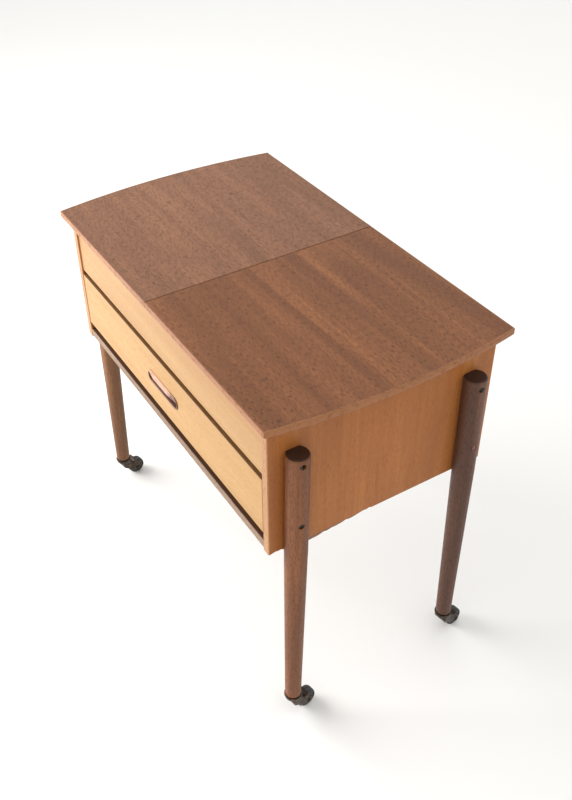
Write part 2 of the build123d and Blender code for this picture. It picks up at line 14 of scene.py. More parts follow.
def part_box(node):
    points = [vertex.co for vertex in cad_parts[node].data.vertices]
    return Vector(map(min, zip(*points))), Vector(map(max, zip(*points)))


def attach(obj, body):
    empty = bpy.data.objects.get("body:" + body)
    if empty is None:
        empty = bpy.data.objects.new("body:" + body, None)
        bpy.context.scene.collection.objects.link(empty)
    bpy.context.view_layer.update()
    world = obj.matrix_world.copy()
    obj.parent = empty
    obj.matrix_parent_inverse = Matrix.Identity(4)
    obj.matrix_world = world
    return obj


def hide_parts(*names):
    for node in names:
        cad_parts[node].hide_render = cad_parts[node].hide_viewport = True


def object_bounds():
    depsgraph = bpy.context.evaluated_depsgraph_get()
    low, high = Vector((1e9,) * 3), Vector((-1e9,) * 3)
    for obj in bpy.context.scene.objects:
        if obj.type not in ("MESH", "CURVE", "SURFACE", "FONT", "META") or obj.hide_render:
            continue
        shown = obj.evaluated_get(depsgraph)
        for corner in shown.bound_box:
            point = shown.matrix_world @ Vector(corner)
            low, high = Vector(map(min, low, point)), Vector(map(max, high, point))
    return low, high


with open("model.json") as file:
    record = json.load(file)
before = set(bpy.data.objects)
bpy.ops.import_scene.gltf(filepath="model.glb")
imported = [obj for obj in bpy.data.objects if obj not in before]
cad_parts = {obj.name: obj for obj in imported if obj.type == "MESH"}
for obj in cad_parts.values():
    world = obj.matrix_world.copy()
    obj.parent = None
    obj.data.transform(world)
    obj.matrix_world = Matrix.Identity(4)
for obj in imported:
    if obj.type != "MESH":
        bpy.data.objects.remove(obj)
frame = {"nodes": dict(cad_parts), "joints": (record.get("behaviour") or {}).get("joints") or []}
cad_low, cad_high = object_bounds()
nodes = frame["nodes"]
MM = 0.001

# ==== End panels ==========================================================================
# Two upright blockboard panels faced with teak veneer, its grain upright, with a pale solid
# lipping glued down the front edge. Years of moving about have chipped their lower edges.


def shader_node(tree, kind, **settings):
    """A new shader node; each setting is a property of the node or the name of an input."""
    made = tree.nodes.new(kind)
    for key, value in settings.items():
        if hasattr(made, key):
            setattr(made, key, value)
        else:
            made.inputs[key.replace("_", " ")].default_value = value
    return made


def grain_noise(tree, grain, across, drawn_out, seed, detail=2.0, distortion=0.0):
    """Noise that changes so often in a metre across the grain, and is drawn out along it.

    The grain runs along X, Y or Z of the piece, or along U of its own map.
    """
    spot = shader_node(tree, "ShaderNodeTexCoord")
    repeats = tuple(across / drawn_out if axis == grain.replace("U", "X") else across for axis in "XYZ")
    placed = shader_node(tree, "ShaderNodeMapping", Scale=repeats,
                         Location=(seed, 1.7 * seed, 0.6 * seed))
    cloud = shader_node(tree, "ShaderNodeTexNoise", Scale=1.0, Detail=detail, Roughness=0.55,
                        Distortion=distortion)
    tree.links.new(spot.outputs["UV" if grain == "U" else "Object"], placed.inputs["Vector"])
    tree.links.new(placed.outputs["Vector"], cloud.inputs["Vector"])
    return cloud.outputs["Fac"]


def spread(tree, value, low, high, start=0.0, end=1.0):
    """The value stretched so that low becomes start and high becomes end."""
    made = shader_node(tree, "ShaderNodeMapRange", From_Min=low, From_Max=high,
                       To_Min=start, To_Max=end)
    tree.links.new(value, made.inputs["Value"])
    return made.outputs["Result"]


def mix(tree, share, first, second):
    """Two colours blended; each is a colour or an output."""
    made = shader_node(tree, "ShaderNodeMix", data_type="RGBA", blend_type="MIX")
    for socket, value in ((made.inputs[0], share), (made.inputs[6], first), (made.inputs[7], second)):
        if isinstance(value, bpy.types.NodeSocket):
            tree.links.new(value, socket)
        elif isinstance(value, tuple):
            socket.default_value = (*value, 1.0)
        else:
            socket.default_value = value
    return made.outputs[2]


def shade(colour, share):
    """The colour made darker, or lighter when share is above 1."""
    return tuple(share * part for part in colour)


def beyond(tree, axis, limit, side, soft=0.15 * MM):
    """1 where a point of the piece lies past limit on an axis, towards side."""
    spot = shader_node(tree, "ShaderNodeTexCoord")
    parts = shader_node(tree, "ShaderNodeSeparateXYZ")
    tree.links.new(spot.outputs["Object"], parts.inputs["Vector"])
    return spread(tree, parts.outputs["XYZ".index(axis)], limit - side * soft, limit + side * soft)


# How often each layer of the grain repeats in a metre, and how far it is drawn out.
BANDS = (26, 14)
GROWTH_LINES = (210, 34)
PORES = (900, 6.5)
FIBRES = (1900, 26)
WORN_PATCHES = (9, 1.8)
GRAIN_RELIEF = 0.12 * MM


def timber(name, pale, deep, pore, grain, seed, flecks=0.5, dull=0.5, lines=0.5, patina=0.3,
           greyed=(0.21, 0.16, 0.11), parts=(), sheen=0.3):
    """Oiled wood: soft bands, growth lines and dark pores drawn out along the grain.

    parts are places of another colour, each an axis, a limit, a side, a colour and, where the
    change is a gradual one, how far it reaches.
    """
    material = bpy.data.materials.new(name)
    material.use_nodes = True
    tree = material.node_tree
    bands = spread(tree, grain_noise(tree, grain, *BANDS, seed, 3.0, 0.7), 0.34, 0.66)
    growth = spread(tree, grain_noise(tree, grain, *GROWTH_LINES, seed + 3, 3.0, 0.3), 0.36, 0.66)
    pores = spread(tree, grain_noise(tree, grain, *PORES, seed + 7, 2.0), 0.51, 0.67)
    fibre = grain_noise(tree, grain, *FIBRES, seed + 11, 2.0)
    worn = spread(tree, grain_noise(tree, grain, *WORN_PATCHES, seed + 17, 4.0), 0.42, 0.74, 0.0, patina)
    light, dark = pale, deep
    for axis, limit, side, colour, *reach in parts:
        there = beyond(tree, axis, limit, side, *reach)
        light = mix(tree, there, light, colour)
        dark = mix(tree, there, dark, shade(colour, 0.72))
    colour = mix(tree, bands, light, dark)
    colour = mix(tree, spread(tree, growth, 0.0, 1.0, 0.0, lines), colour, dark)
    colour = mix(tree, spread(tree, fibre, 0.3, 0.7, 0.0, 0.22), colour, light)
    colour = mix(tree, worn, colour, greyed)
    colour = mix(tree, spread(tree, pores, 0.0, 1.0, 0.0, flecks), colour, pore)
    relief = shader_node(tree, "ShaderNodeMath", operation="SUBTRACT")
    tree.links.new(fibre, relief.inputs[0])
    tree.links.new(pores, relief.inputs[1])
    bump = shader_node(tree, "ShaderNodeBump", Strength=0.35, Distance=GRAIN_RELIEF)
    tree.links.new(relief.outputs[0], bump.inputs["Height"])
    surface = tree.nodes["Principled BSDF"]
    surface.inputs["Specular IOR Level"].default_value = sheen
    tree.links.new(colour, surface.inputs["Base Color"])
    tree.links.new(spread(tree, pores, 0.0, 1.0, dull, dull + 0.18), surface.inputs["Roughness"])
    tree.links.new(bump.outputs["Normal"], surface.inputs["Normal"])
    return material


def add_piece(name, mesh, body, slot, material, *stands_for):
    """A finished mesh becomes a piece of the table that rides on a body."""
    piece = bpy.data.objects.new(name, mesh)
    bpy.context.scene.collection.objects.link(piece)
    mesh.materials.clear()
    mesh.materials.append(material)
    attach(piece, body)
    if stands_for:
        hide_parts(*stands_for)


def mesh_of(name, build, angle=35):
    """The bmesh as a mesh with outward faces, smooth up to an angle in degrees."""
    bmesh.ops.recalc_face_normals(build, faces=build.faces)
    mesh = bpy.data.meshes.new(name)
    build.to_mesh(mesh)
    build.free()
    mesh.polygons.foreach_set("use_smooth", [True] * len(mesh.polygons))
    mesh.set_sharp_from_angle(angle=math.radians(angle))
    return mesh


def loft(build, rings):
    """Quads between closed rings of points, with a cap on the first and last."""
    grown = [[build.verts.new(point) for point in ring] for ring in rings]
    for one, two in zip(grown, grown[1:]):
        for i in range(len(one)):
            build.faces.new((one[i - 1], one[i], two[i], two[i - 1]))
    build.faces.new(grown[0])
    build.faces.new(grown[-1])


PANEL_ARRIS = 0.8 * MM
OUTER_ARRIS = 1.5 * MM
CHIP_STEP = 1.5 * MM
CHIP_MOST = 2.2 * MM
SPLINTERS = 16
CHIPPED_SHARE = 0.62
BELLY = 6.2 * MM
BELLY_FALL = (12, 50)      # the belly grows over this stretch from the front edge, in millimetres
BELLY_RISE = (52, 165)     # and it is planed away again over this one
LIPPING = 1.2 * MM


def chip_heights(count, seed, most):
    """How much of the lower edge has gone at each station: splinters in its front part."""
    draw = random.Random(seed)
    heights = [0.0] * count
    for _ in range(SPLINTERS):
        middle = int(CHIPPED_SHARE * count * draw.random())
        reach = draw.randint(3, 9)
        tall = most * draw.uniform(0.25, 1.0)
        for step in range(-reach, reach // 2 + 1):
            at = middle + step
            if 0 <= at < count:
                share = 1 + step / (reach + 1) if step < 0 else 1 - step / (reach / 2 + 1)
                heights[at] = max(heights[at], tall * share)
    return heights


def ease(value, low, high):
    """0 below low, 1 above high, and a smooth rise between them."""
    share = min(1.0, max(0.0, (value - low) / (high - low)))
    return share * share * (3 - 2 * share)


def chipped_panel(node, side, seed):
    """The panel as rings in x and z; its lower edge was sawn by eye, with a belly behind the leg."""
    low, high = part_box(node)
    outer, inner = (high.x, low.x) if side > 0 else (low.x, high.x)
    count = int((high.y - low.y) / CHIP_STEP)
    chips = chip_heights(count + 1, seed, CHIP_MOST)
    rings = []
    for i in range(count + 1):
        y = low.y + (high.y - low.y) * i / count
        near_end = min(y - low.y, high.y - y) / PANEL_ARRIS
        eased = PANEL_ARRIS * (1 - math.sqrt(max(0.0, 1 - (1 - min(1.0, near_end)) ** 2)))
        out, back = outer - side * eased, inner + side * eased
        along = (y - low.y) / MM
        hung = low.z - BELLY * ease(along, *BELLY_FALL) * (1 - ease(along, *BELLY_RISE))
        gone = chips[i]
        rings.append([
            Vector((back, y, hung + 0.2 * gone)), Vector((back + side * 5 * MM, y, hung + 0.35 * gone)),
            Vector((out - side * OUTER_ARRIS, y, hung + 0.8 * gone)),
            Vector((out, y, hung + gone + 0.3 * MM)),
            Vector((out, y, high.z)), Vector((back, y, high.z))])
    build = bmesh.new()
    loft(build, rings)
    return mesh_of(node, build)


panel_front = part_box("end_panel_right")[0].y
panel_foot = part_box("end_panel_right")[0].z
SIDE_PALE, SIDE_DEEP = (0.456, 0.170, 0.0395), (0.315, 0.098, 0.0195)
for side_name, side, seed in (("left", -1, 4.0), ("right", 1, 9.0)):
    panel = "end_panel_" + side_name
    veneer = timber("upright_veneer_" + side_name, SIDE_PALE, SIDE_DEEP, (0.20, 0.07, 0.025), "Z", seed,
                    flecks=0.35, dull=0.42, lines=0.55, patina=0.16, greyed=(0.24, 0.10, 0.04),
                    parts=(("Y", panel_front + LIPPING, -1, (0.56, 0.28, 0.12)),
                           ("Z", panel_foot + 0.25 * MM, -1, (0.30, 0.14, 0.07))))
    add_piece("end_panel_board_" + side_name, chipped_panel(panel, side, int(seed)),
              "case", "teak_side", veneer, panel)

# ==== Apron, back and floor boards ========================================================
# The apron is a fixed veneered board let in above the drawer. The bottom board's raw front
# edge shows as a low rail. The back is a thin panel, pinned to the case along its edges.


def finish_node(node, material):
    """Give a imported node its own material."""
    nodes[node].data.materials.clear()
    nodes[node].data.materials.append(material)


FRONT_PALE, FRONT_DEEP = (0.475, 0.280, 0.112), (0.40, 0.208, 0.073)
# The apron's lowest edge is painted dark: painted shade in the gap above the drawer.
apron_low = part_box("apron_panel")[0]
finish_node("apron_panel", timber("apron_veneer_painted_edge_shade", FRONT_PALE, FRONT_DEEP, (0.33, 0.16, 0.07), "X", 2.0,
                                  flecks=0.3, dull=0.42, lines=0.45, patina=0.1, greyed=(0.34, 0.19, 0.08),
                                  parts=(("Z", apron_low.z + 0.7 * MM, -1, (0.20, 0.09, 0.04)),)))
# The bottom board is painted dark all over as the shade under the drawer; only its front edge keeps a
# lighter wood colour.
board_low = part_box("bottom_board")[0]
finish_node("bottom_board", timber("bottom_board_painted_shade", (0.11, 0.040, 0.014), (0.075, 0.026, 0.009),
                                   (0.05, 0.02, 0.01), "X", 13.0, dull=0.6, patina=0.2,
                                   greyed=(0.12, 0.06, 0.03),
                                   parts=(("Y", board_low.y + 1.1 * MM, -1, (0.34, 0.225, 0.155)),)))
finish_node("back_panel", timber("back_panel_veneer", (0.40, 0.22, 0.11), (0.30, 0.15, 0.07),
                                 (0.16, 0.07, 0.03), "X", 21.0, dull=0.6, patina=0.35))
BIRCH_PLY = timber("birch_ply", (0.60, 0.46, 0.30), (0.52, 0.38, 0.24), (0.40, 0.27, 0.16), "X", 37.0,
                   flecks=0.25, dull=0.6, lines=0.5, patina=0.15, greyed=(0.42, 0.34, 0.25))
finish_node("dust_shelf", BIRCH_PLY)

# ==== Pins in the back panel ==============================================================
# Small round steel pins hold the back panel to the end panels, the dust shelf and the bottom
# board. They are driven in a little unevenly, about a hand's breadth apart.


def lathe(build, profile, steps=32):
    """Turn a profile of radius and height about the local z axis; a zero radius closes an end."""
    rings = []
    for radius, height in profile:
        if radius == 0:
            rings.append([build.verts.new((0, 0, height))])
        else:
            rings.append([build.verts.new((radius * math.cos(turn), radius * math.sin(turn), height))
                          for turn in (math.tau * i / steps for i in range(steps))])
    for one, two in zip(rings, rings[1:]):
        for i in range(steps):
            first = one if len(one) == 1 else [one[i - 1], one[i]]
            second = two if len(two) == 1 else [two[i], two[i - 1]]
            build.faces.new(first + second)


def metal(name, colour, worn, dull, seed, metallic=1.0, grime=(0.05, 0.04, 0.03)):
    """Old metal: a toned surface, rubbed brighter in places, with grime in others."""
    material = bpy.data.materials.new(name)
    material.use_nodes = True
    tree = material.node_tree
    rubbed = spread(tree, grain_noise(tree, "X", 160, 1, seed, 4.0), 0.5, 0.7)
    dirty = spread(tree, grain_noise(tree, "X", 70, 1, seed + 5, 3.0), 0.5, 0.75, 0.0, 0.7)
    colour = mix(tree, dirty, mix(tree, rubbed, colour, worn), grime)
    surface = tree.nodes["Principled BSDF"]
    surface.inputs["Metallic"].default_value = metallic
    tree.links.new(colour, surface.inputs["Base Color"])
    tree.links.new(spread(tree, dirty, 0.0, 0.7, dull, dull + 0.3), surface.inputs["Roughness"])
    bump = shader_node(tree, "ShaderNodeBump", Strength=0.2, Distance=0.1 * MM)
    tree.links.new(rubbed, bump.inputs["Height"])
    tree.links.new(bump.outputs["Normal"], surface.inputs["Normal"])
    return material


def repeat_tree(name):
    """Geometry nodes: one pattern object stood on every point, turned by the point's own turn."""
    tree = bpy.data.node_groups.new(name, "GeometryNodeTree")
    face = tree.interface
    face.new_socket("Places", in_out="INPUT", socket_type="NodeSocketGeometry")
    face.new_socket("Pattern", in_out="INPUT", socket_type="NodeSocketObject")
    face.new_socket("Size", in_out="INPUT", socket_type="NodeSocketFloat")
    face.new_socket("Uneven", in_out="INPUT", socket_type="NodeSocketFloat")
    face.new_socket("Finish", in_out="INPUT", socket_type="NodeSocketMaterial")
    face.new_socket("Pieces", in_out="OUTPUT", socket_type="NodeSocketGeometry")
    given = tree.nodes.new("NodeGroupInput")
    result = tree.nodes.new("NodeGroupOutput")
    turn = tree.nodes.new("GeometryNodeInputNamedAttribute")
    turn.data_type = "FLOAT_VECTOR"
    turn.inputs["Name"].default_value = "turn"
    chance = tree.nodes.new("FunctionNodeRandomValue")
    chance.data_type = "FLOAT"
    chance.inputs["Seed"].default_value = 5
    smallest = tree.nodes.new("ShaderNodeMath")
    smallest.operation = "SUBTRACT"
    euler = tree.nodes.new("FunctionNodeEulerToRotation")
    pattern = tree.nodes.new("GeometryNodeObjectInfo")
    stand = tree.nodes.new("GeometryNodeInstanceOnPoints")
    real = tree.nodes.new("GeometryNodeRealizeInstances")
    coat = tree.nodes.new("GeometryNodeSetMaterial")
    join = tree.links.new
    join(given.outputs["Places"], stand.inputs["Points"])
    join(given.outputs["Pattern"], pattern.inputs["Object"])
    join(pattern.outputs["Geometry"], stand.inputs["Instance"])
    join(turn.outputs["Attribute"], euler.inputs["Euler"])
    join(euler.outputs["Rotation"], stand.inputs["Rotation"])
    join(given.outputs["Size"], smallest.inputs[0])
    join(given.outputs["Uneven"], smallest.inputs[1])
    join(smallest.outputs[0], chance.inputs[2])
    join(given.outputs["Size"], chance.inputs[3])
    join(chance.outputs[1], stand.inputs["Scale"])
    join(stand.outputs["Instances"], real.inputs["Geometry"])
    join(real.outputs["Geometry"], coat.inputs["Geometry"])
    join(given.outputs["Finish"], coat.inputs["Material"])
    join(coat.outputs["Geometry"], result.inputs["Pieces"])
    return tree


REPEAT = repeat_tree("repeat_on_points")


def repeated(name, pattern_mesh, places, turns, material, uneven=0.0):
    """The pattern at each place, as one plain mesh."""
    dots = bpy.data.meshes.new(name + "_places")
    dots.from_pydata(places, [], [])
    attribute = dots.attributes.new("turn", "FLOAT_VECTOR", "POINT")
    for item, turn in zip(attribute.data, turns):
        item.vector = turn
    host = bpy.data.objects.new(name + "_host", dots)
    pattern = bpy.data.objects.new(name + "_pattern", pattern_mesh)
    for made in (host, pattern):
        bpy.context.scene.collection.objects.link(made)
    modifier = host.modifiers.new("repeat", "NODES")
    modifier.node_group = REPEAT
    sockets = {s.name: s.identifier for s in REPEAT.interface.items_tree if s.in_out == "INPUT"}
    modifier[sockets["Pattern"]] = pattern
    modifier[sockets["Size"]] = 1.0
    modifier[sockets["Uneven"]] = uneven
    modifier[sockets["Finish"]] = material
    seen = host.evaluated_get(bpy.context.evaluated_depsgraph_get())
    mesh = bpy.data.meshes.new_from_object(seen)
    mesh.name = name
    host.modifiers.remove(modifier)
    for made in (host, pattern):
        bpy.data.objects.remove(made)
    return mesh


PIN_RADIUS = 1.7 * MM
PIN_PROUD = 0.5 * MM
PIN_SPACING = 95 * MM
PIN_INSET = 7 * MM
PIN_ASTRAY = 2 * MM
SHELF_HALF = 2.5 * MM
build = bmesh.new()
lathe(build, [(0, PIN_PROUD), (0.7 * PIN_RADIUS, 0.8 * PIN_PROUD), (PIN_RADIUS, 0.2 * PIN_PROUD),
              (PIN_RADIUS, -0.3 * MM), (0, -0.3 * MM)], 16)
pin = mesh_of("pin", build)
back_low, back_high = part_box("back_panel")
across = round((back_high.x - back_low.x) / PIN_SPACING)
draw = random.Random(8)
places = []
for z in (back_low.z + PIN_INSET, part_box("dust_shelf")[0].z + SHELF_HALF, back_high.z - PIN_INSET):
    for i in range(across + 1):
        x = back_low.x + PIN_INSET + (back_high.x - back_low.x - 2 * PIN_INSET) * i / across
        astray = draw.uniform(-1, 1) * PIN_ASTRAY * (0 < i < across)
        places.append((x + astray, back_high.y, z + draw.uniform(-0.5, 0.5) * PIN_ASTRAY))
STEEL = metal("blued_steel", (0.10, 0.095, 0.09), (0.32, 0.31, 0.30), 0.35, 3.0)
add_piece("back_panel_pins", repeated("back_panel_pins", pin, places,
                                      [(-math.pi / 2, 0, 0)] * len(places), STEEL, 0.12),
          "case", "screw_steel", STEEL)

# ==== Legs ================================================================================
# Four legs turned from solid afrormosia, straight beside the case and tapered below it, with a
# flat cut on the inner side to lie against the end panel. End grain shows dark on the tops.
leg_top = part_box("leg_front_right")[1].z
LEG_TONES = {"front_left": ((0.315, 0.133, 0.053), 40.0), "front_right": ((0.315, 0.111, 0.040), 44.0),
             "back_left": ((0.22, 0.095, 0.050), 47.0), "back_right": ((0.180, 0.0765, 0.044), 52.0)}
for corner, (tone, seed) in LEG_TONES.items():
    finish_node("leg_" + corner,
                timber("leg_wood_" + corner, tone, shade(tone, 0.42), shade(tone, 0.22), "Z", seed,
                       flecks=0.55, dull=0.48, lines=0.85, patina=0.15, greyed=shade(tone, 0.6),
                       parts=(("Z", leg_top - 1.0 * MM, 1, (0.050, 0.022, 0.014)),)))

# ==== Leg screws ==========================================================================
# Two slotted steel screws go through each leg into the end panel, sunk in round holes. They
# have blackened with age, and no two slots point the same way.
SCREW_HEAD = 4.0 * MM
SCREW_ROWS_PART = 0.47     # height between the upper and the lower screws
SLOT_HALF = 0.6 * MM
SLOT_DEEP = 0.9 * MM
SLOT_TURN = 0.6
screw_parts = {}
for vertex in nodes["leg_screws"].data.vertices:
    spot = vertex.co
    mark = (spot.x > 0, spot.y > 0, spot.z > SCREW_ROWS_PART)
    screw_parts.setdefault(mark, []).append(spot.copy())
places, turns = [], []
draw = random.Random(3)
for (right, _, _), spots in sorted(screw_parts.items()):
    reach = max(abs(spot.x) for spot in spots)
    head = [spot for spot in spots if abs(spot.x) > reach - 0.1 * MM]
    middle = [(min(spot[axis] for spot in head) + max(spot[axis] for spot in head)) / 2 for axis in (1, 2)]
    side = 1 if right else -1
    places.append((side * reach, *middle))
    turns.append((draw.uniform(-SLOT_TURN, SLOT_TURN), side * math.pi / 2, 0))
build = bmesh.new()
lathe(build, [(0, 0), (0.72 * SCREW_HEAD, 0), (0.95 * SCREW_HEAD, -0.25 * MM), (SCREW_HEAD, -0.7 * MM),
              (0.5 * SCREW_HEAD, -2.6 * MM), (0, -2.6 * MM)])
for offset in (-SLOT_HALF, SLOT_HALF):
    bmesh.ops.bisect_plane(build, geom=build.verts[:] + build.edges[:] + build.faces[:],
                           plane_co=(0, offset, 0), plane_no=(0, 1, 0))
crown = [face for face in build.faces if face.normal.z > 0.3 or face.calc_center_median().z > -0.3 * MM]
slot_faces = [face for face in crown if abs(face.calc_center_median().y) < SLOT_HALF * 0.9]
sunk = bmesh.ops.extrude_face_region(build, geom=slot_faces)
bmesh.ops.translate(build, vec=(0, 0, -SLOT_DEEP),
                    verts=[item for item in sunk["geom"] if isinstance(item, bmesh.types.BMVert)])
bmesh.ops.delete(build, geom=slot_faces, context="FACES")
screw = mesh_of("screw", build, 25)
BLACK_STEEL = metal("blackened_steel", (0.06, 0.05, 0.045), (0.16, 0.13, 0.11), 0.45, 6.0)
add_piece("leg_screw_heads", repeated("leg_screw_heads", screw, places, turns, BLACK_STEEL),
          "case", "screw_steel", BLACK_STEEL, "leg_screws")

# ==== Plug in the back right leg ==========================================================
# The lower screw of the back right leg is hidden under a small turned plug of redder wood,
# which stands a hair proud of the leg.
PLUG_RADIUS = 3.7 * MM
PLUG_SUNK = 0.3 * MM
plugged = min((place for place in places if place[0] > 0 and place[1] > 0), key=lambda place: place[2])
leg_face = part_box("leg_back_right")[1].x
build = bmesh.new()
lathe(build, [(0, 0.5 * MM), (0.7 * PLUG_RADIUS, 0.4 * MM), (0.93 * PLUG_RADIUS, 0.1 * MM),
              (PLUG_RADIUS, -0.4 * MM), (PLUG_RADIUS, -0.9 * MM), (0, -0.9 * MM)])
spot = Matrix.Translation((leg_face - PLUG_SUNK, *plugged[1:]))
bmesh.ops.transform(build, verts=build.verts, matrix=spot @ Matrix.Rotation(math.pi / 2, 4, "Y"))
add_piece("screw_plug_back_right", mesh_of("screw_plug_back_right", build), "case", "teak_solid",
          timber("plug_wood", (0.30, 0.10, 0.065), (0.20, 0.06, 0.04), (0.09, 0.03, 0.02), "Y", 58.0,
                 flecks=0.3, dull=0.35, patina=0.1, greyed=(0.2, 0.08, 0.05)))

# ==== Casters =============================================================================
# Furniture casters of pressed and bronzed steel: a flanged socket let into the leg's foot, a
# hooded horn that swivels in it, and a moulded wheel with a rubber tyre on a riveted axle.
BRONZE = metal("bronzed_steel", (0.052, 0.037, 0.028), (0.15, 0.100, 0.070), 0.34, 12.0, 0.75,
               (0.030, 0.026, 0.023))


def moulded(name, colour, dusty, dull, seed):
    """Moulded rubber or plastic with dust worked into it."""
    material = bpy.data.materials.new(name)
    material.use_nodes = True
    tree = material.node_tree
    dust = spread(tree, grain_noise(tree, "X", 220, 1, seed, 5.0), 0.45, 0.75, 0.0, 0.8)
    surface = tree.nodes["Principled BSDF"]
    tree.links.new(mix(tree, dust, colour, dusty), surface.inputs["Base Color"])
    tree.links.new(spread(tree, dust, 0.0, 0.8, dull, dull + 0.25), surface.inputs["Roughness"])
    bump = shader_node(tree, "ShaderNodeBump", Strength=0.3, Distance=0.15 * MM)
    tree.links.new(dust, bump.inputs["Height"])
    tree.links.new(bump.outputs["Normal"], surface.inputs["Normal"])
    return material


TYRE = moulded("tyre_rubber", (0.018, 0.017, 0.016), (0.09, 0.085, 0.08), 0.6, 3.0)
HUB = moulded("hub_moulding", (0.080, 0.068, 0.058), (0.17, 0.15, 0.13), 0.38, 9.0)
HORN_VOXEL = 0.62 * MM
HORN_ROUNDS = 5


def softened(name, node, voxel, rounds):
    """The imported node's shape with its arrises rounded, as on a pressing."""
    build = bmesh.new()
    build.from_mesh(nodes[node].data)
    bmesh.ops.remove_doubles(build, verts=build.verts, dist=0.001 * MM)
    sharp = mesh_of(name + "_sharp", build)
    host = bpy.data.objects.new(name + "_host", sharp)
    bpy.context.scene.collection.objects.link(host)
    skin = host.modifiers.new("skin", "REMESH")
    skin.mode = "VOXEL"
    skin.voxel_size = voxel
    rounding = host.modifiers.new("rounding", "SMOOTH")
    rounding.factor = 0.5
    rounding.iterations = rounds
    mesh = bpy.data.meshes.new_from_object(host.evaluated_get(bpy.context.evaluated_depsgraph_get()))
    mesh.name = name
    mesh.polygons.foreach_set("use_smooth", [True] * len(mesh.polygons))
    bpy.data.objects.remove(host)
    return mesh


def turned_wheel(name, profile, corner):
    """A closed profile of radius and half width in millimetres, turned about a wheel's axle."""
    joint = next(item for item in frame["joints"] if item["name"] == "wheel_spin_" + corner)
    build = bmesh.new()
    mirrored = [(radius, -place) for radius, place in reversed(profile)]
    loop = [(radius * MM, place * MM) for radius, place in profile + mirrored]
    lathe(build, loop + loop[:1], 56)
    bmesh.ops.remove_doubles(build, verts=build.verts, dist=0.001 * MM)
    axle = Vector(joint["axis"]).to_track_quat("Z", "Y").to_matrix().to_4x4()
    bmesh.ops.transform(build, matrix=Matrix.Translation(Vector(joint["pos_m"])) @ axle, verts=build.verts)
    return mesh_of(name, build, 40)


# Radius and distance from the wheel's middle, from the bore outwards along one face.
HUB_FACE = [(2.05, -8.3), (3.9, -8.3), (4.4, -8.0), (4.6, -6.2), (5.1, -5.4), (7.6, -5.1), (8.4, -5.4),
            (8.9, -6.6), (9.4, -6.9), (10.3, -6.8), (10.5, -6.5)]
TYRE_FACE = [(10.5, -6.6), (10.7, -7.5), (11.4, -7.95), (12.4, -7.9), (13.6, -7.2), (14.5, -5.8),
             (14.95, -3.6), (15.0, -0.7), (14.8, -0.4)]
for corner in LEG_TONES:
    for part, material in (("socket", BRONZE), ("axle", BRONZE)):
        finish_node("caster_" + part + "_" + corner, material)
    horn = "caster_horn_" + corner
    add_piece("pressed_horn_" + corner, softened("pressed_horn_" + corner, horn, HORN_VOXEL, HORN_ROUNDS),
              "caster_" + corner, "bronze", BRONZE, horn)
    add_piece("moulded_hub_" + corner, turned_wheel("moulded_hub_" + corner, HUB_FACE, corner),
              "wheel_" + corner, "hub_plastic", HUB, "caster_hub_" + corner)
    add_piece("rubber_tyre_" + corner, turned_wheel("rubber_tyre_" + corner, TYRE_FACE, corner),
              "wheel_" + corner, "tyre", TYRE, "caster_tyre_" + corner)

# ==== Rails, ledges and runners ===========================================================
# Planed beech battens inside the case: grooved rails that guide the top, ledges that carry
# the trays, and hanging runners for the drawer.
BEECH = timber("planed_beech", (0.62, 0.43, 0.26), (0.52, 0.34, 0.19), (0.38, 0.22, 0.12), "X", 31.0,
               flecks=0.35, dull=0.55, lines=0.3, patina=0.12, greyed=(0.42, 0.33, 0.23))
BEECH_DEEP = timber("planed_beech_deep", (0.60, 0.41, 0.25), (0.50, 0.33, 0.18), (0.36, 0.21, 0.12), "Y",
                    33.0, flecks=0.35, dull=0.55, lines=0.3, patina=0.12, greyed=(0.42, 0.33, 0.23))
for node in ("top_rail_front", "top_rail_back", "tray_ledge_front", "tray_ledge_back"):
    finish_node(node, BEECH)
for node in ("drawer_runner_left", "drawer_runner_right", "drawer_side_left", "drawer_side_right",
             "drawer_dividers"):
    finish_node(node, BEECH_DEEP)
for side_name in ("left", "right"):
    for end_name in ("front", "back"):
        finish_node("lid_runner_" + side_name + "_" + end_name, BEECH)
    finish_node("lid_screws_" + side_name, STEEL)

# ==== Trays ===============================================================================
# Two shallow trays of beech slips round a thin plywood floor, divided for buttons and thread.
# They slide along the ledges.
for side_name in ("left", "right"):
    finish_node("tray_" + side_name + "_rim", BEECH_DEEP)
    finish_node("tray_" + side_name + "_floor", BIRCH_PLY)
    finish_node("tray_" + side_name + "_dividers", BEECH_DEEP)

# ==== Finger joints of the trays ==========================================================
# The corners of each tray are cut as fingers and glued. The end grain of every other finger
# shows darker on the end walls, planed almost flush.
FINGERS = 4
FINGER_WIDE = 6.0 * MM
FINGER_INSET = 3 * MM
FINGER_PROUD = 0.12 * MM
FINGER_ARRIS = 0.05 * MM
END_GRAIN = timber("beech_end_grain", (0.36, 0.22, 0.12), (0.28, 0.16, 0.08), (0.18, 0.10, 0.05), "Z", 35.0,
                   flecks=0.6, dull=0.7, lines=0.2, patina=0.2, greyed=(0.30, 0.22, 0.14))
for side_name in ("left", "right"):
    rim_low, rim_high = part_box("tray_" + side_name + "_rim")
    pitch = (rim_high.z - rim_low.z) / (2 * FINGERS)
    build = bmesh.new()
    bmesh.ops.create_cube(build, size=1.0,
                          matrix=Matrix.Diagonal((2 * FINGER_PROUD, FINGER_WIDE, pitch, 1)))
    bmesh.ops.bevel(build, geom=build.edges[:], offset=FINGER_ARRIS, segments=1, affect="EDGES")
    finger = mesh_of("finger", build)
    places = [(x, y, rim_low.z + (2 * step + 1.5) * pitch) for x in (rim_low.x, rim_high.x)
              for y in (rim_low.y + 0.5 * FINGER_WIDE + FINGER_INSET,
                        rim_high.y - 0.5 * FINGER_WIDE - FINGER_INSET)
              for step in range(FINGERS - 1)]
    name = "tray_" + side_name + "_fingers"
    add_piece(name, repeated(name, finger, places, [(0, 0, 0)] * len(places), END_GRAIN),
              "tray_" + side_name, "beech", END_GRAIN)

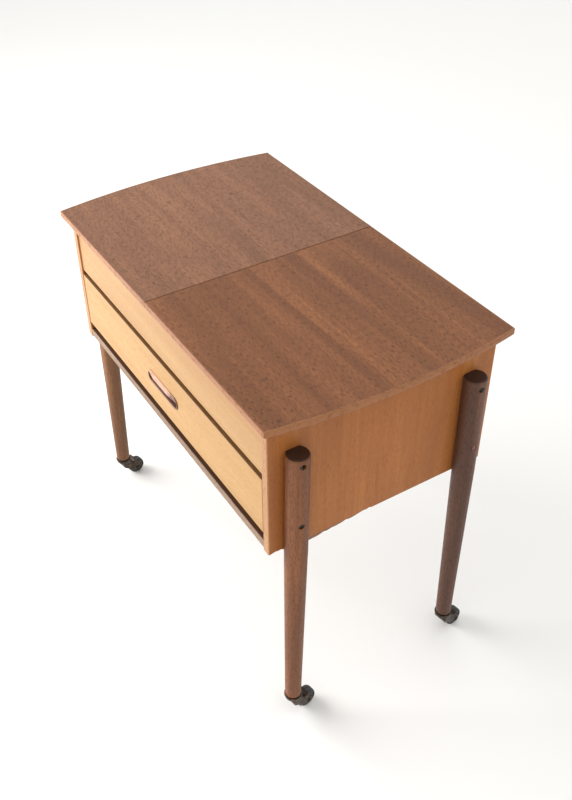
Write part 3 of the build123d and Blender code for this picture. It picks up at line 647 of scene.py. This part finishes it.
# ==== Spool pegs ==========================================================================
# Turned beech pegs for cotton reels, glued into the floor of the right tray: a straight
# shank, a small collar at the foot and a rounded head.
peg_low, peg_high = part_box("spool_pegs")
PEG_RADIUS = 2.5 * MM
feet = []
for vertex in nodes["spool_pegs"].data.vertices:
    if vertex.co.z < peg_low.z + 0.1 * MM:
        near = [ring for ring in feet if (ring[0] - vertex.co).length < 4 * PEG_RADIUS]
        if near:
            near[0].append(vertex.co.copy())
        else:
            feet.append([vertex.co.copy()])
places = [((min(v.x for v in ring) + max(v.x for v in ring)) / 2,
           (min(v.y for v in ring) + max(v.y for v in ring)) / 2, peg_low.z) for ring in feet]
tall = peg_high.z - peg_low.z
build = bmesh.new()
lathe(build, [(0, tall), (0.55 * PEG_RADIUS, tall - 0.2 * MM), (0.9 * PEG_RADIUS, tall - 0.9 * MM),
              (PEG_RADIUS, tall - 2.0 * MM), (0.94 * PEG_RADIUS, tall - 3.4 * MM),
              (0.92 * PEG_RADIUS, 2.6 * MM), (PEG_RADIUS, 2.0 * MM), (1.3 * PEG_RADIUS, 1.5 * MM),
              (1.38 * PEG_RADIUS, 0.8 * MM), (1.3 * PEG_RADIUS, 0), (0, 0)], 24)
add_piece("turned_spool_pegs", repeated("turned_spool_pegs", mesh_of("peg", build, 50), places,
                                        [(0, 0, 0)] * len(places), BEECH),
          "tray_right", "beech", BEECH, "spool_pegs")

# ==== Drawer ==============================================================================
# A veneered drawer front on a beech box with a plywood floor. The front's upper and lower
# edges are painted dark, as the shade in the gaps above and below it.
front_low, front_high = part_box("drawer_front")
# Painted shade: the upper and lower edges of the front are darkened for the gaps around it.
finish_node("drawer_front", timber("drawer_veneer_painted_edge_shade", (0.505, 0.297, 0.110), (0.42, 0.225, 0.073),
                                   (0.36, 0.18, 0.08), "X", 61.0, flecks=0.3, dull=0.42, lines=0.4,
                                   patina=0.08, greyed=(0.36, 0.20, 0.08),
                                   parts=(("Z", front_high.z - 0.7 * MM, 1, (0.19, 0.085, 0.025)),
                                          ("Z", front_low.z + 0.7 * MM, -1, (0.12, 0.05, 0.02)))))
finish_node("drawer_back", BEECH)
finish_node("drawer_floor", BIRCH_PLY)

# ==== Drawer pull =========================================================================
# An oval boss carved from solid teak and let into the drawer front. It is hollowed for the
# finger tips, with a full lip above and a thin one below.
pull_low, pull_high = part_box("drawer_pull")
PULL_RADIUS = (pull_high.z - pull_low.z) / 2
PULL_STRAIGHT = (pull_high.x - pull_low.x) / 2 - PULL_RADIUS
PULL_MIDDLE = (pull_low.z + pull_high.z) / 2
LIP_LINE = 5.0 * MM        # the lip's edge stands this far above the middle
LIP_PROUD = 0.8 * (front_low.y - pull_low.y)
RIM_PROUD = 1.8 * MM
HOLLOW_DEEP = 5.0 * MM
RIM_WIDE = 1.6 * MM
EDGE_ROUND = 1.4 * MM
SCOOP_SLOPE = 2.2 * MM
LIP_FADE = (20 * MM, 43 * MM)    # the lip sinks into the rim between these distances from the middle
LIP_UNDERCUT = 0.9 * MM


def pull_height(x, z):
    """How far the carved face stands in front of the drawer front at a place on the boss."""
    inside = max(0.0, PULL_RADIUS - math.hypot(max(0.0, abs(x) - PULL_STRAIGHT), z))
    rounding = math.sqrt(1 - (1 - min(1.0, inside / EDGE_ROUND)) ** 2)
    lip = RIM_PROUD + (LIP_PROUD - RIM_PROUD) * (1 - ease(abs(x), *LIP_FADE))
    rise = ease(PULL_RADIUS - z, 0.5 * MM, PULL_RADIUS - LIP_LINE)
    brow = RIM_PROUD + (lip - RIM_PROUD) * rise
    scoop = ease(inside, RIM_WIDE, RIM_WIDE + SCOOP_SLOPE) * ease(LIP_LINE - z, 0.0, EDGE_ROUND)
    under = RIM_PROUD - (RIM_PROUD + HOLLOW_DEEP) * scoop
    share = ease(LIP_LINE - z, 0.0, LIP_UNDERCUT)
    return rounding * (brow + (under - brow) * share)


def carved_boss(name, columns=150, rows=56):
    """The oval boss as a fine grid over its outline, closed behind where it is let in."""
    build = bmesh.new()
    grid = []
    reach = PULL_STRAIGHT + PULL_RADIUS
    for column in range(columns + 1):
        x = -reach * math.cos(math.pi * column / columns)
        half = math.sqrt(max(0.0, PULL_RADIUS ** 2 - max(0.0, abs(x) - PULL_STRAIGHT) ** 2))
        line = []
        for row in range(rows + 1):
            z = -half * math.cos(math.pi * row / rows)
            line.append(build.verts.new((x, front_low.y - pull_height(x, z), PULL_MIDDLE + z)))
        grid.append(line)
    for one, two in zip(grid, grid[1:]):
        for row in range(rows):
            build.faces.new((one[row], two[row], two[row + 1], one[row + 1]))
    bmesh.ops.remove_doubles(build, verts=build.verts, dist=0.01 * MM)
    rim = [edge for edge in build.edges if edge.is_boundary]
    skirt = bmesh.ops.extrude_edge_only(build, edges=rim)["geom"]
    for vertex in (item for item in skirt if isinstance(item, bmesh.types.BMVert)):
        vertex.co.y = pull_high.y
    bmesh.ops.holes_fill(build, edges=[edge for edge in build.edges if edge.is_boundary])
    return mesh_of(name, build, 60)


# Painted shade: the right end, everything below the lip's edge and the hollow behind the front are darkened
# where shade falls.
PULL_TEAK_PAINTED_SHADE = timber("pull_teak_painted_shade", (0.45, 0.225, 0.120), (0.34, 0.150, 0.075), (0.16, 0.07, 0.035), "X", 71.0,
                   flecks=0.3, dull=0.32, lines=0.4, patina=0.1, greyed=(0.28, 0.12, 0.06), sheen=0.5,
                   parts=(("X", PULL_STRAIGHT - 12 * MM, 1, (0.19, 0.072, 0.034), 7 * MM),
                          ("Z", PULL_MIDDLE + LIP_LINE - 0.4 * MM, -1, (0.13, 0.045, 0.020), 0.5 * MM),
                          ("Y", front_low.y + 0.6 * MM, 1, (0.070, 0.022, 0.011))))
add_piece("carved_pull", carved_boss("carved_pull"), "drawer", "teak_solid", PULL_TEAK_PAINTED_SHADE, "drawer_pull")

# ==== Top =================================================================================
# Two halves of veneered board with a thin solid lipping round the edges, their outer ends cut
# to an easy curve. The left half is coloured greyer, mostly a painted sheen of light; the right is darker
# and redder.
top_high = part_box("lid_left")[1]
EDGE_Z = top_high.z - 0.75 * MM
EDGE_TONE = (0.40, 0.160, 0.060)
# The left half's greyer colours are mostly a painted reflection of the light across it.
for side_name, pale, deep, seed in (("left", (0.308, 0.139, 0.072), (0.180, 0.077, 0.039), 81.0),
                                    ("right", (0.300, 0.113, 0.040), (0.150, 0.053, 0.019), 88.0)):
    finish_node("lid_" + side_name,
                timber("top_veneer_" + side_name, pale, deep, shade(deep, 0.45), "X", seed,
                       flecks=0.95, dull=0.45, lines=0.55, patina=0.45, greyed=shade(deep, 1.05),
                       parts=(("Z", EDGE_Z, -1, EDGE_TONE),)))

# ==== Lipping round the top ===============================================================
# A thin slip of solid teak is glued round the outer edges of each half, its grain running
# along the edge. A fine pale line is painted along the arris as its highlight.
# Out from the edge and up from the face, in millimetres.
LIP_SECTION = [(-1.3, 0.03), (-0.5, -0.05), (0.05, -0.45), (0.25, -1.1)]
BOW_STEPS = 36


def lipping(name, lid, side):
    """A slip that follows the front edge, the bowed end and the back edge of half the top."""
    low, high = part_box(lid)
    corner_x = max(abs(v.co.x) for v in nodes[lid].data.vertices if v.co.y > high.y - 1 * MM)
    end_x = max(abs(low.x), abs(high.x))
    bow = end_x - corner_x
    radius = (high.y ** 2 + bow ** 2) / (2 * bow)
    seam_x = low.x if side > 0 else high.x
    path = [Vector((seam_x, low.y))]
    for step in range(BOW_STEPS + 1):
        y = low.y + (high.y - low.y) * step / BOW_STEPS
        path.append(Vector((side * (end_x - radius + math.sqrt(radius ** 2 - y ** 2)), y)))
    path.append(Vector((seam_x, high.y)))
    runs = [(after - before).normalized() for before, after in zip(path, path[1:])]
    section = LIP_SECTION + [(out, (low.z - high.z) / MM - up) for out, up in reversed(LIP_SECTION)]
    rings, lengths = [], [0.0]
    for at, point in enumerate(path):
        before, after = runs[max(at - 1, 0)], runs[min(at, len(runs) - 1)]
        outward = side * (Vector((before.y, -before.x)) + Vector((after.y, -after.x)))
        outward /= outward.length_squared / 2
        rings.append([Vector((point.x + out * MM * outward.x, point.y + out * MM * outward.y,
                              high.z + up * MM)) for out, up in section])
        if at:
            lengths.append(lengths[-1] + (point - path[at - 1]).length)
    build = bmesh.new()
    loft(build, rings)
    mesh = mesh_of(name, build, 50)
    mapped = mesh.uv_layers.new(name="along_the_edge")
    for loop in mesh.loops:
        ring, spot = divmod(loop.vertex_index, len(section))
        mapped.data[loop.index].uv = (lengths[ring], spot * 1.3 * MM)
    return mesh


for side_name, side in (("left", -1), ("right", 1)):
    # Painted highlight: the top of the slip is coloured paler along the arris.
    slip_teak = timber("lipping_teak_" + side_name, (0.38, 0.160, 0.060), (0.27, 0.095, 0.032),
                       (0.14, 0.05, 0.02), "U", 95.0 + side, flecks=0.35, dull=0.4, lines=0.6,
                       patina=0.15, greyed=(0.22, 0.09, 0.04),
                       parts=(("Z", top_high.z - 0.35 * MM, 1, (0.46, 0.21, 0.095)),))
    add_piece("lid_lipping_" + side_name, lipping("lid_lipping_" + side_name, "lid_" + side_name, side),
              "lid_" + side_name + "_half", "teak_top", slip_teak)

# ==== Studio ==============================================================================
# A seamless pale floor, a soft light from the front left, and even light from all round. The
# camera looks down on the table from its front right corner.
FLOOR_HALF = 60.0
corners = [(-FLOOR_HALF, -FLOOR_HALF, 0), (FLOOR_HALF, -FLOOR_HALF, 0),
           (FLOOR_HALF, FLOOR_HALF, 0), (-FLOOR_HALF, FLOOR_HALF, 0)]
floor_mesh = bpy.data.meshes.new("floor")
floor_mesh.from_pydata(corners, [], [(0, 1, 2, 3)])
floor = bpy.data.objects.new("floor", floor_mesh)
bpy.context.scene.collection.objects.link(floor)
pale_floor = bpy.data.materials.new("pale_floor")
pale_floor.use_nodes = True
floor_surface = pale_floor.node_tree.nodes["Principled BSDF"]
floor_surface.inputs["Base Color"].default_value = (0.885, 0.885, 0.875, 1)
floor_surface.inputs["Roughness"].default_value = 0.6
floor_mesh.materials.append(pale_floor)

world = bpy.data.worlds.new("studio")
bpy.context.scene.world = world
world.use_nodes = True
daylight = world.node_tree.nodes["Background"]
daylight.inputs["Color"].default_value = (1.0, 0.995, 0.98, 1)
daylight.inputs["Strength"].default_value = 1.0


def soft_light(name, place, aim, size, power, colour=(1.0, 0.98, 0.95)):
    """A square soft box at a place, turned towards a point."""
    data = bpy.data.lights.new(name, "AREA")
    data.size = size
    data.energy = power
    data.color = colour
    lamp = bpy.data.objects.new(name, data)
    lamp.location = place
    lamp.rotation_euler = (Vector(aim) - Vector(place)).to_track_quat("-Z", "Y").to_euler()
    bpy.context.scene.collection.objects.link(lamp)


middle = (cad_low + cad_high) / 2
soft_light("window", (-1.3, -1.3, 1.1), middle, 1.5, 50)

LENS = 43.416
LENS_SHIFT = (0.025, -0.01875)
CAMERA_PLACE = Vector((0.9906, -0.5875, 1.2928))
CAMERA_AZIMUTH = math.radians(59.5)
CAMERA_TILT = math.radians(38.91)
CAMERA_ROLL = math.radians(-1.2)
backward = Vector((math.sin(CAMERA_AZIMUTH) * math.cos(CAMERA_TILT),
                   -math.cos(CAMERA_AZIMUTH) * math.cos(CAMERA_TILT), math.sin(CAMERA_TILT)))
rightward = Vector((math.cos(CAMERA_AZIMUTH), math.sin(CAMERA_AZIMUTH), 0))
upward = backward.cross(rightward)
rolled_right = math.cos(CAMERA_ROLL) * rightward + math.sin(CAMERA_ROLL) * upward
rolled_up = math.cos(CAMERA_ROLL) * upward - math.sin(CAMERA_ROLL) * rightward
lens = bpy.data.cameras.new("camera")
lens.lens = LENS
lens.shift_x, lens.shift_y = LENS_SHIFT
camera = bpy.data.objects.new("camera", lens)
camera.matrix_world = Matrix((
    (rolled_right.x, rolled_up.x, backward.x, CAMERA_PLACE.x),
    (rolled_right.y, rolled_up.y, backward.y, CAMERA_PLACE.y),
    (rolled_right.z, rolled_up.z, backward.z, CAMERA_PLACE.z), (0, 0, 0, 1)))
bpy.context.scene.collection.objects.link(camera)
bpy.context.scene.camera = camera
bpy.context.scene.view_settings.view_transform = "Standard"
